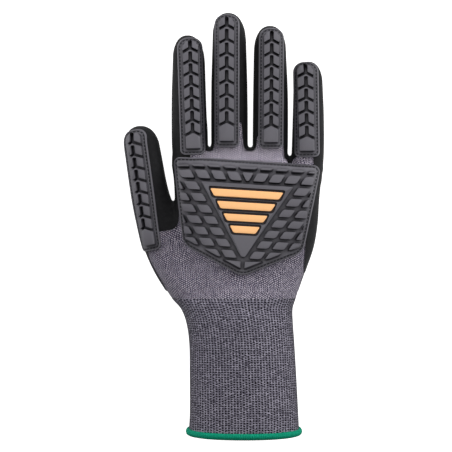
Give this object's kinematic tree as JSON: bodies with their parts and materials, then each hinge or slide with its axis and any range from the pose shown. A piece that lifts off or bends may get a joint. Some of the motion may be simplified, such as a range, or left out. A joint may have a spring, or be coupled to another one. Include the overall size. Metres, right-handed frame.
{
  "type": "impact work glove",
  "caption": "Knitted right-hand work glove with a foam-dipped palm, moulded rubber impact guards over the fingers and knuckles, and a long knitted wrist with an overlocked hem.",
  "frame": {"origin": "under the middle of the glove, on the surface that it lies on palm down", "axes": "+Y from the wrist to the finger tips, +X to the little finger's side, +Z out of the back of the hand"},
  "size_m": [0.1266, 0.2682, 0.0396],
  "materials": {
    "hand_knit": "heathered fine knit",
    "wrist_knit": "fine vertical ribs",
    "hem_yarn": "green overlock yarn",
    "foam_coat": "matte foam",
    "guard_rubber": "satin moulded rubber",
    "inlay_rubber": "smooth orange rubber"
  },
  "bodies": {
    "root": {"knit_fingers": "hand_knit", "knit_palm": "hand_knit", "knit_cuff": "wrist_knit", "hem_band": "hem_yarn", "coat_fingers": "foam_coat", "coat_palm": "foam_coat", "index_guard": "guard_rubber", "middle_guard": "guard_rubber", "ring_guard": "guard_rubber", "little_guard": "guard_rubber", "thumb_guard": "guard_rubber", "knuckle_guard": "guard_rubber", "inlay_bar_1": "inlay_rubber", "inlay_bar_2": "inlay_rubber", "inlay_bar_3": "inlay_rubber", "inlay_bar_4": "inlay_rubber"}
  },
  "joints": []
}
